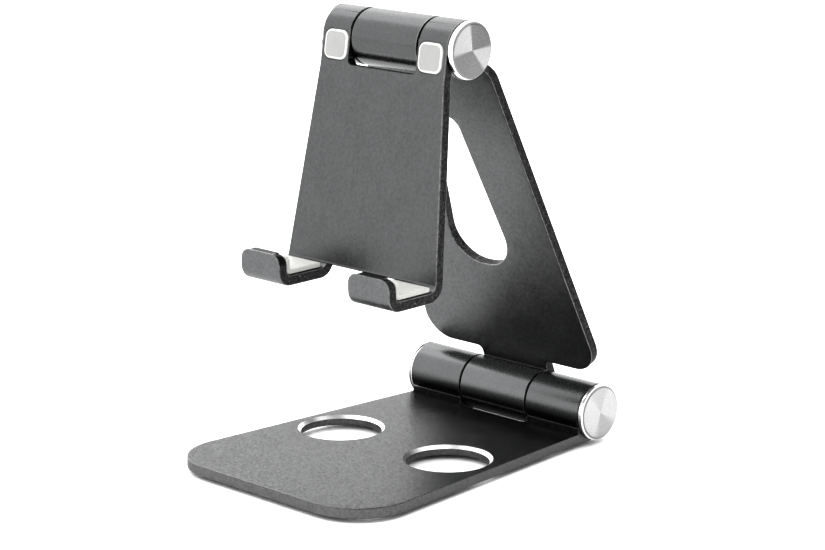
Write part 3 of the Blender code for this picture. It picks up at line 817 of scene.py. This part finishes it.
def build_feet():
    low, top = UNDER - FOOT_HEIGHT, UNDER + FOOT_SINK - GAP
    # (height above the floor, distance in from the rim): a shallow ring, then the rolled rim
    roll = [(0.05, 2.4), (0.0, 2.0), (0.0, 0.75), (0.03, 0.55), (0.10, 0.36), (0.22, 0.18),
            (0.38, 0.06), (0.55, 0.0)]
    profile = ([(low + 0.06, 0)] + [(low + rise, FOOT_RADIUS - into) for rise, into in roll]
               + [(top, FOOT_RADIUS), (top, 0)])
    for name, (x, y) in FEET.items():
        obj = link(turned(profile, 96, (0, 0)))
        paint(obj, FOOT_SILICONE)
        pose = BASE_POSE @ Matrix.Translation(Vector((x, y, 0)) * MM)
        place(obj, "foot_disc_" + name, pose, "base", "foot_pad_" + name,
              sharp=50)


# ------------------------------------------------------------------ arm
ARM_HINGES = ((LOW, 0), (UP, ARM_LENGTH))       # (hinge, height of its axis)


def arm_section():
    """Side view: both barrels, joined by the plate behind them."""
    (low_front, low_back), (up_front, up_back) = [
        [math.degrees(math.acos(forward / hinge.radius)) for forward in (SHEET - ARM_BACK, -ARM_BACK)]
        for hinge in (LOW, UP)]
    return (arc(LOW.radius, low_front, low_back - 360)
            + arc(UP.radius, 360 - up_back, -up_front, -ARM_LENGTH))


def arm_outline():
    low_half, up_half, past = LOW.seam - SEAM_HALF, UP.seam - SEAM_HALF, 20
    return rounded(mirrored([
        (-low_half, -past, 0), (-low_half, ARM_BOTTOM, 1.5), (-ARM_BOTTOM_HALF, ARM_BOTTOM, 8.0),
        (-ARM_TOP_HALF, ARM_TOP, 4.5), (-up_half, ARM_TOP, 1.2),
        (-up_half, ARM_LENGTH + past, 0)]), 20)


def arm_cuts():
    """The bush bores and the tapering cutout."""
    cuts = []
    for hinge, height in ARM_HINGES:
        bore, past = hinge.bolt + GAP + BUSH_WALL + GAP, hinge.seam + 1
        bm = turned([(-past, 0), (-past, bore), (past, bore), (past, 0)], 56)
        bmesh.ops.translate(bm, vec=(0, 0, height), verts=bm.verts)
        cuts.append(bm)
    cutout = rounded([
        (-CUTOUT_BOTTOM_HALF, CUTOUT_BOTTOM, 9.8), (CUTOUT_BOTTOM_HALF, CUTOUT_BOTTOM, 9.8),
        (CUTOUT_TOP_HALF, CUTOUT_TOP, 4.6), (-CUTOUT_TOP_HALF, CUTOUT_TOP, 4.6)], 24)
    return cuts + [prism(cutout, arm_view, ARM_BACK - SHEET - 1, ARM_BACK + 1)]


def build_arm():
    obj = link(prism(arm_section(), side_view, -60, 60))
    combine(obj, prism(arm_outline(), arm_view, -20, 20), arm_cuts())

    def keep(at, turn):
        for hinge, height in ARM_HINGES:
            if off_axis(at, height) < hinge.radius - 0.6 and at.y < ARM_BACK - SHEET - 0.3:
                return 0.0                  # bores
        if turn < 75 and abs(at.x) < LOW.seam:
            return 0.0                      # where plate and barrel meet inside
        return 1.0

    bore, lower_barrel = range(4, 6)
    paint(obj, FLAT_ARM, WORN, SHEARED, BARREL, BORE, MIDDLE_KNUCKLE_PAINTED_SHADE)
    bevel(obj, keep)

    def kind(at, normal):
        for hinge, height in ARM_HINGES:
            away = off_axis(at, height)
            if away < hinge.radius + 0.05 and abs(at.x) < LOW.seam and abs(normal.y) < 0.999:
                if away < hinge.radius - 0.8 and abs(normal.x) < 0.5:
                    return bore
                return ROUND if height else lower_barrel
        return EDGE if abs(normal.y) < 0.6 else FLAT

    place(obj, "arm_body", ARM_POSE, "arm", "arm_plate", kind)


# ------------------------------------------------------------------ holder
def offset_path(points, radii, depth, steps=14):
    """One side of a bent sheet: the path's corners, moved sideways by depth and rounded."""
    lines = []
    for start, end in zip(points, points[1:]):
        along = (Vector(end) - Vector(start)).normalized()
        lines.append((Vector(start) + Vector((-along.y, along.x)) * depth, along))
    corners = [lines[0][0]]
    for (one, along), (two, onward) in zip(lines, lines[1:]):
        corners.append(one + along * ((two - one).cross(onward) / along.cross(onward)))
    last = Vector(points[-1]) - Vector(points[-2])
    corners.append(lines[-1][0] + lines[-1][1] * last.length)
    out = [corners[0]]
    for i, radius in enumerate(radii, 1):
        centre, start, end, _ = fillet(corners[i - 1], corners[i], corners[i + 1], radius)
        first, final = math.atan2(*start.yx), math.atan2(*end.yx)
        turn = (final - first + math.pi) % (2 * math.pi) - math.pi
        for k in range(steps + 1):
            angle = first + turn * k / steps
            out.append(centre + Vector((math.cos(angle), math.sin(angle))) * radius)
    out.append(corners[-1])
    return out


DROOP, LEAN = math.tan(math.radians(HOOK_DROOP)), math.tan(math.radians(LIP_LEAN))


def hook_corners():
    """(forward, down) of the sheet's rear bend, its front bend and the lip's top."""
    (ledge_x, ledge_down), (lip_x, lip_down) = LEDGE_POINT, LIP_POINT
    back = HOLD_FRONT - SHEET
    front = (lip_x - LEAN * (ledge_down - ledge_x * DROOP - lip_down)) / (1 + LEAN * DROOP)
    return ((back, ledge_down + (back - ledge_x) * DROOP),
            (front, ledge_down + (front - ledge_x) * DROOP),
            (lip_x - LEAN * (LIP_TOP - lip_down), LIP_TOP))


EASE = 26.0             # degrees of barrel taken up by the eased join
ROUND_TO = math.degrees(math.acos((HOLD_FRONT - SHEET) / UP.radius))


def eased_start(steps=10):
    """From the flat front round onto the barrel, without the slight crease between them."""
    angle = math.radians(EASE)
    end = Vector((UP.radius * math.cos(angle), -UP.radius * math.sin(angle)))
    reach = (HOLD_FRONT - end.x) / math.sin(angle)
    knee = Vector((HOLD_FRONT, end.y + reach * math.cos(angle)))
    start = knee + Vector((0, reach))
    return [tuple(start.lerp(knee, t).lerp(knee.lerp(end, t), t))
            for t in [k / steps for k in range(steps)]]


BARREL_PATH = eased_start() + arc(UP.radius, EASE, 360 - ROUND_TO)
SHEET_PATH = [BARREL_PATH[-1], *hook_corners()]


def lip_cutter(x, into, radius=LIP_CORNER, reach=1.0, steps=14):
    """Cutter that rounds a top corner of a lip; into is the X direction towards the lip."""
    corner = [(x - into, LIP_TOP - reach), (x + into * radius, LIP_TOP - reach)]
    for k in range(steps + 1):
        angle = math.pi / 2 * k / steps
        corner.append((x + into * (radius - radius * math.sin(angle)),
                       LIP_TOP + radius - radius * math.cos(angle)))
    corner.append((x - into, LIP_TOP + radius))
    return prism(corner, holder_view, 18, 40)


def pad_outline(side, grow):
    middle, half = PAD_X * side, PAD_HALF + grow
    top, bottom, radius = PAD_TOP - grow, PAD_BOTTOM + grow, PAD_CORNER + grow
    return rounded([(middle - half, top, radius), (middle + half, top, radius),
                    (middle + half, bottom, radius), (middle - half, bottom, radius)], 12)


def holder_section():
    """Side view of one bent sheet: barrel, back plate, hook ledge and lip."""
    outer = offset_path(SHEET_PATH, (LEDGE_BEND, LIP_BEND), 0)
    inner = offset_path(SHEET_PATH, (LEDGE_BEND - SHEET, LIP_BEND - SHEET), -SHEET)
    return BARREL_PATH + outer[1:] + inner[:0:-1]


def holder_outline():
    above, below = -20, 80
    left = [(-UP.end, above, 0), (-UP.end, HOLD_FLARE, 6.0),
            (-HOLD_BOTTOM_HALF, HOLD_BOTTOM, 12.0), (-HOLD_BOTTOM_HALF, below, 0)]
    window = [(WINDOW_HALF, above, 0), (WINDOW_HALF, WINDOW_DOWN, 1.6)]
    return rounded(mirrored(left) + mirrored(window), 20)


def holder_cuts():
    rear, front = HOLD_FRONT - SHEET - 0.02, HOLD_FRONT + 0.6
    half = WINDOW_HALF + 0.02
    middle_barrel = [(-30, -30), (rear, -30), (rear, 14), (-30, 14)]
    between_hooks = [(-30, HOLD_BOTTOM), (front, HOLD_BOTTOM), (front, 40), (60, 40), (60, 90),
                     (-30, 90)]
    cuts = [prism(middle_barrel, side_view, -half, half),
            prism(between_hooks, side_view, -HOOK_IN, HOOK_IN)]
    for side in (-1, 1):
        cuts.append(lip_cutter(side * HOOK_IN, side))
        cuts.append(lip_cutter(side * HOLD_BOTTOM_HALF, -side))
    cuts.append(hinge_bore(UP))
    for side in (-1, 1):
        cuts.append(prism(pad_outline(side, GAP), holder_view,
                          HOLD_FRONT - PAD_SINK, HOLD_FRONT + 2))
    return cuts


def build_holder():
    obj = link(prism(holder_section(), side_view, -60, 60))
    combine(obj, prism(holder_outline(), holder_view, -20, 45), holder_cuts())
    front_y = -HOLD_FRONT

    def in_recess(at):
        return (abs(abs(at.x) - PAD_X) < PAD_HALF + 0.7
                and PAD_TOP - 0.6 < -at.z < PAD_BOTTOM + 0.6 and at.y < front_y + 0.7)

    def keep(at, turn):
        if off_axis(at) < UP.radius - 0.6 and at.y > front_y + 0.7:
            return 0.0                      # bores and the hidden meeting of plate and barrel
        if in_recess(at):
            return 0.0
        if turn < 40 and at.y > front_y + 1:
            return 0.0
        return 1.0

    bore, lip = range(4, 6)
    paint(obj, FLAT_HOLDER, WORN, SHEARED, BARREL, BORE, LIP_PAINTED_LIGHT)
    bevel(obj, keep)

    def kind(at, normal):
        if off_axis(at) < UP.radius - 0.8 and at.y > front_y + 0.7:
            return bore if abs(normal.x) < 0.5 else ROUND
        if off_axis(at) < UP.radius + 0.05 and at.y > front_y + 0.05 and abs(normal.x) < 0.5:
            return ROUND
        if in_recess(at) and at.y > front_y + 0.05:
            return bore
        if abs(normal.x) > 0.5:
            return EDGE
        if -at.z < LIP_TOP + 0.2 and at.y < -18 and normal.z > 0.6:
            return EDGE                     # the lip's top
        if abs(at.x) < HOOK_IN and normal.z < -0.8:
            return EDGE                     # the plate's bottom edge
        # The lips' fronts take the lighter copy of the finish, painted light.
        if at.y < -20 and normal.y < -0.1 and normal.z > -0.8:
            return lip                      # the lips' fronts
        return FLAT

    def rub(at, normal):
        if abs(at.x) < WINDOW_HALF + 0.4 and -at.z < WINDOW_DOWN + 0.5:
            return EDGE                     # round the window
        if abs(at.x) < HOOK_IN and abs(-at.z - HOLD_BOTTOM) < 0.6:
            return EDGE                     # bottom edge between the hooks
        return RUBBED

    place(obj, "holder_body", HOLDER_POSE, "holder", "holder_plate", kind, rub)


# ------------------------------------------------------------------ pads
# (growth of the outline, depth below the crown) from the wall over the rolled rim
PAD_ROLL = [(0.0, 0.42), (-0.03, 0.30), (-0.10, 0.19), (-0.21, 0.11), (-0.36, 0.065),
            (-0.60, 0.05), (-1.1, 0.03), (-1.7, 0.01)]


def build_upper_pads():
    """Small moulded pads: soft rolled rim, a faint flat-topped crown."""
    low, top = HOLD_FRONT - PAD_SINK + GAP, HOLD_FRONT + PAD_PROUD
    rise = [(0.0, low)] + [(grow, top - drop) for grow, drop in PAD_ROLL]
    # The rim bands take the lighter copy, a painted highlight.
    rim_slot, rim_bands = 2, 6
    for side, name in ((-1, "left"), (1, "right")):
        bm = bmesh.new()
        rings = [[bm.verts.new(holder_view(point.x, point.y, forward))
                  for point in pad_outline(side, grow)] for grow, forward in rise]
        bm.faces.new(rings[0])
        for k, (one, two) in enumerate(zip(rings, rings[1:])):
            for face in bridge(bm, one, two):
                face.material_index = rim_slot if k < rim_bands else 0
        crown = bm.verts.new(holder_view(PAD_X * side, (PAD_TOP + PAD_BOTTOM) / 2, top))
        last = rings[-1]
        for i in range(len(last)):
            bm.faces.new((last[i], last[(i + 1) % len(last)], crown))
        obj = link(bm)
        paint(obj, PAD_SILICONE_PAINTED_SHADE, PAD_RIM_PAINTED_HIGHLIGHT, PAD_RIM_PAINTED_HIGHLIGHT)
        place(obj, "upper_rest_pad_" + name, HOLDER_POSE, "holder",
              "upper_pad_" + name, sharp=60, weighted=False)


def inset(outline, amount):
    """The closed outline moved inwards by amount."""
    count = len(outline)
    area = sum(outline[i - 1].cross(outline[i]) for i in range(count))
    inward = 1 if area > 0 else -1
    out = []
    for i in range(count):
        before = (outline[i] - outline[i - 1]).normalized()
        after = (outline[(i + 1) % count] - outline[i]).normalized()
        one, two = (Vector((-way.y, way.x)) * inward for way in (before, after))
        middle = (one + two).normalized()
        out.append(outline[i] + middle * amount / max(0.5, middle.dot(one)))
    return out


LINING_SKIN, LINING_THICK = 0.2, 1.2        # gap to the hook, and thickness
LINING_REAR = 9.5                           # forward distance where the lining starts
LINING_CORNER, LINING_ROLL = 1.6, 0.2       # lip corner radius, and rounding of the ends
LINING_END_GAP = 0.4
LINING_RIBS, RIB_LIFT = 8, 0.06
# Distances in from either end where the lining has a cross section
LINING_STATIONS = [0.0, 0.03, 0.09, LINING_ROLL, 0.45, 0.75, 1.15, LINING_CORNER]


def lining_side(points, cut, ribs):
    """The ledge and lip stretch of a path, ribbed along the ledge and cut short at the lip."""
    kept = [point for point in points[1:-1] if point.x > LINING_REAR + 1]
    first = Vector((LINING_REAR, kept[0].y - (kept[0].x - LINING_REAR) * DROOP))
    ledge = [first]
    for k in range(1, ribs * 4):
        lift = RIB_LIFT * (1 - math.cos(math.pi * k / 2))
        ledge.append(first.lerp(kept[0], k / (ribs * 4)) - Vector((0, lift)))
    end = points[-1] + (kept[-1] - points[-1]).normalized() * (1.0 + cut)
    return ledge + kept + [end]


def build_hook_pads():
    """Lining of each hook: finely ribbed along the ledge, turned up the lip, ends rolled."""
    under = offset_path(SHEET_PATH, (1.2, 1.2), -SHEET - LINING_SKIN, 6)
    over = offset_path(SHEET_PATH, (0.6, 0.6), -SHEET - LINING_SKIN - LINING_THICK, 6)
    length = HOLD_BOTTOM_HALF - HOOK_IN - 2 * LINING_END_GAP
    stations = ([(depth, depth) for depth in LINING_STATIONS]
                + [(length - depth, depth) for depth in reversed(LINING_STATIONS)])
    corner, roll = LINING_CORNER, LINING_ROLL
    for side, name in ((-1, "left"), (1, "right")):
        bm = bmesh.new()
        rings = []
        for along, depth in stations:
            x = HOOK_IN + LINING_END_GAP + along
            cut = corner - math.sqrt(max(0.0, corner ** 2 - (corner - depth) ** 2))
            shape = lining_side(under, cut, 0) + lining_side(over, cut, LINING_RIBS)[::-1]
            if depth < roll:
                shape = inset(shape, roll - math.sqrt(roll ** 2 - (roll - depth) ** 2))
            rings.append([bm.verts.new(side_view(point.x, point.y, side * x))
                          for point in shape])
        bm.faces.new(rings[0])
        bm.faces.new(rings[-1])
        for one, two in zip(rings, rings[1:]):
            bridge(bm, one, two)
        obj = link(bm)
        paint(obj, SILICONE)
        place(obj, "hook_lining_" + name, HOLDER_POSE, "holder",
              "hook_pad_" + name, sharp=50, weighted=False)


# ------------------------------------------------------------------ caps
def cap_profile(hinge):
    """(x, radius): spigot, seat, rim with its stepped edge, and a slightly dished face."""
    seat, face, radius = hinge.end + 0.15, hinge.cap, hinge.radius
    spigot = COUNTERBORE_RADIUS - GAP
    return [
        (seat - 2.2, spigot - 0.8), (seat - 2.2, spigot - 0.15), (seat - 2.05, spigot),
        (seat, spigot), (seat, radius - 0.35), (seat + 0.5, radius - 0.35),
        (seat + 0.5, radius - 0.1), (seat + 0.6, radius), (face - 0.62, radius),
        (face - 0.55, radius - 0.02), (face - 0.22, radius - 0.35), (face - 0.18, radius - 0.42),
        (face - 0.18, radius - 0.62), (face - 0.04, radius - 0.76), (face, radius - 0.86),
        (face, radius - 1.2), (face - 0.03, radius * 0.55), (face - 0.06, radius * 0.22),
        (face - 0.09, 0.32), (face - 0.12, 0.0), (seat + 0.6, 0.0), (seat + 0.6, spigot - 0.8)]


def build_caps():
    disc, rim, step = 0, 2, 3               # material slots
    for prefix, pose, body, hinge, face_look in (
            ("lower", BASE_POSE, "base", LOW, SPUN_LOWER),
            ("upper", HOLDER_POSE, "holder", UP, SPUN_UPPER)):

        def kind(at, normal):
            if off_axis(at) < hinge.radius - 0.7:
                return disc
            return step if off_axis(at) < hinge.radius - 0.38 else rim

        for side, name in ((-1, "left"), (1, "right")):
            obj = link(turned([(side * x, radius) for x, radius in cap_profile(hinge)], 160))
            paint(obj, face_look, SPUN_RIM, SPUN_RIM, SPUN_STEP)
            place(obj, "%s_end_cap_%s" % (prefix, name), pose, body,
                  "%s_cap_%s" % (prefix, name), kind, sharp=25, weighted=False)


# ------------------------------------------------------------------ hinge hardware
def paint_hardware():
    """Gives each of the frame's own pieces the material of the first word in its name."""
    steel = machined("turned_steel", tone=0.56, rough=0.28)
    spring = machined("spring_steel", tone=0.30, rough=0.36, warm=0.03)
    nylon = machined("bush_nylon", tone=0.74, rough=0.50, warm=0.03, metal=0.0)
    friction = machined("friction_disc", tone=0.030, rough=0.62, stretch=(1, 1, 1), metal=0.0)
    by_word = (("friction", friction), ("bush", nylon), ("spring", spring), ("bolt", steel),
               ("nut", steel), ("washer", steel), ("pad", SILICONE), ("cap", SPUN_LOWER))
    for name, node in frame["nodes"].items():
        material = next((found for word, found in by_word if word in name), FLAT_BASE)
        node.data.materials.clear()
        node.data.materials.append(material)


# ------------------------------------------------------------------ floor, light, camera
def floor_material():
    look = Look("pale_floor")
    cloud = look.noise(size=180.0)
    look.set("Base Color", look.blend(look.ramp(cloud, SOFT), grey(0.90), grey(0.92)))
    look.set("Roughness", 0.75)
    look.set("Specular IOR Level", 0.2)
    return look.mat


def build_floor():
    bm = bmesh.new()
    bmesh.ops.create_grid(bm, x_segments=8, y_segments=8, size=6.0)
    mesh = bpy.data.meshes.new("floor")
    bm.to_mesh(mesh)
    bm.free()
    floor = bpy.data.objects.new("floor", mesh)
    bpy.context.collection.objects.link(floor)
    mesh.materials.append(floor_material())


def build_world():
    """White surroundings, brightest towards the left."""
    bright_side = Vector((-0.92, -0.22, 0.30)).normalized()
    world = bpy.data.worlds.new("studio")
    bpy.context.scene.world = world
    world.use_nodes = True
    nodes, links = world.node_tree.nodes, world.node_tree.links
    background = nodes["Background"]
    toward = nodes.new("ShaderNodeTexCoord").outputs["Generated"]
    dot = nodes.new("ShaderNodeVectorMath")
    dot.operation = "DOT_PRODUCT"
    links.new(toward, dot.inputs[0])
    dot.inputs[1].default_value = bright_side
    level = nodes.new("ShaderNodeMapRange")
    level.interpolation_type = "SMOOTHSTEP"
    links.new(dot.outputs["Value"], level.inputs["Value"])
    for key, value in (("From Min", -0.85), ("From Max", 0.75), ("To Min", 1.1), ("To Max", 2.4)):
        level.inputs[key].default_value = value
    links.new(level.outputs["Result"], background.inputs["Strength"])
    background.inputs["Color"].default_value = (1.0, 1.0, 1.0, 1.0)


def softbox(name, where, size, power):
    """A square area light aimed at the middle of the stand."""
    data = bpy.data.lights.new(name, "AREA")
    data.shape = "RECTANGLE"
    data.size = data.size_y = size
    data.energy = power
    made = bpy.data.objects.new(name, data)
    bpy.context.collection.objects.link(made)
    made.location = where
    aim = (cad_low + cad_high) / 2 - Vector(where)
    made.rotation_euler = aim.to_track_quat("-Z", "Y").to_euler()


def build_camera(target, distance, azimuth, elevation, lens):
    """Azimuth turns from -Y towards +X; angles in degrees, distance in metres."""
    data = bpy.data.cameras.new("camera")
    data.sensor_width = 36.0
    data.sensor_fit = "HORIZONTAL"
    data.lens = lens
    data.clip_start, data.clip_end = 0.01, 50.0
    camera = bpy.data.objects.new("camera", data)
    bpy.context.collection.objects.link(camera)
    azimuth, elevation = math.radians(azimuth), math.radians(elevation)
    back = Vector((math.sin(azimuth) * math.cos(elevation),
                   -math.cos(azimuth) * math.cos(elevation), math.sin(elevation)))
    right = Vector((math.cos(azimuth), math.sin(azimuth), 0.0))
    turn = Matrix((right, back.cross(right), back)).transposed().to_4x4()
    camera.matrix_world = Matrix.Translation(Vector(target) + back * distance) @ turn
    bpy.context.scene.camera = camera


def set_view():
    view = bpy.context.scene.view_settings
    view.view_transform = "Standard"
    view.look = "None"
    view.exposure = 0.17
    view.gamma = 0.79


build_base()
build_feet()
build_arm()
build_holder()
build_upper_pads()
build_hook_pads()
build_caps()
paint_hardware()
build_floor()
build_world()
softbox("top", where=(0.1, -0.1, 1.6), size=2.4, power=14.0)
softbox("upper_left", where=(-1.28, 0.42, 1.44), size=1.5, power=9.0)
build_camera(target=(-0.004258, 0.009588, 0.049208), distance=0.718428, azimuth=43.952,
             elevation=13.676, lens=112.662)
set_view()
